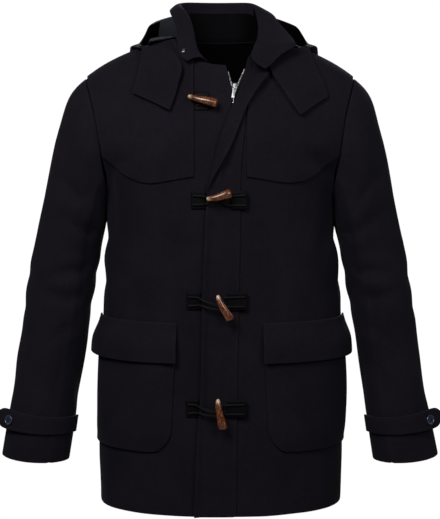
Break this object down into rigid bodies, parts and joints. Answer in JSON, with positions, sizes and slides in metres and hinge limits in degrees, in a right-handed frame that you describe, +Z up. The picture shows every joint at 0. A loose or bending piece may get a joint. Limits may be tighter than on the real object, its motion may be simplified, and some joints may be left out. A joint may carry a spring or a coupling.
{
  "type": "duffle coat",
  "caption": "Hip-length melton duffle coat with horn toggles over a zip placket, open rolled collar, hood lying behind, yoked shoulders, flapped patch pockets and cuff straps",
  "frame": {"origin": "middle of the neck opening at the height of the back neck seam, where the wearer's shoulders and neck hold the coat", "axes": "+X to the wearer's left, +Y to the wearer's back, +Z up; the front faces -Y"},
  "size_m": [0.7869, 0.4112, 0.8847],
  "materials": {
    "wool": "near-black navy melton wool, soft napped face",
    "lining": "navy satin lining",
    "leather": "black leather patches and cord, satin",
    "tape": "black woven zip tape",
    "horn": "tortoise horn, cream at the tip, dark brown at the butt, polished",
    "zip_metal": "silver zip metal",
    "button": "navy button, glossy"
  },
  "bodies": {
    "coat": {"back": "wool", "collar": "wool", "cuff_button_left": "button", "cuff_button_right": "button", "cuff_strap_left": "wool", "cuff_strap_right": "wool", "front_left": "wool", "front_right": "wool", "hood_left": "wool", "hood_lining": "lining", "hood_right": "wool", "hood_snap": "button", "hood_zip_end": "zip_metal", "loop_cord_2": "leather", "loop_cord_3": "leather", "loop_cord_4": "leather", "loop_patch_2": "leather", "loop_patch_3": "leather", "loop_patch_4": "leather", "placket": "wool", "pocket_flap_left": "wool", "pocket_flap_right": "wool", "pocket_left": "wool", "pocket_right": "wool", "sleeve_top_left": "wool", "sleeve_top_right": "wool", "sleeve_under_left": "wool", "sleeve_under_right": "wool", "throat_flap_left": "wool", "throat_flap_right": "wool", "toggle_1": "horn", "toggle_2": "horn", "toggle_3": "horn", "toggle_4": "horn", "toggle_cord_1": "leather", "toggle_cord_2": "leather", "toggle_cord_3": "leather", "toggle_cord_4": "leather", "toggle_patch_1": "leather", "toggle_patch_2": "leather", "toggle_patch_3": "leather", "toggle_patch_4": "leather", "yoke_back": "wool", "yoke_front_left": "wool", "yoke_front_right": "wool", "zip_slider": "zip_metal", "zip_tape_left": "tape", "zip_tape_right": "tape"},
    "pull": {"zip_pull": "zip_metal"}
  },
  "joints": [
    {"name": "zip_pull_hinge", "type": "hinge", "parent": "coat", "child": "pull", "pos_m": [0.02588, -0.11863, -0.07753], "axis": [-0.9753, -0.0306, 0.2187], "range_deg": [0, 165]}
  ]
}
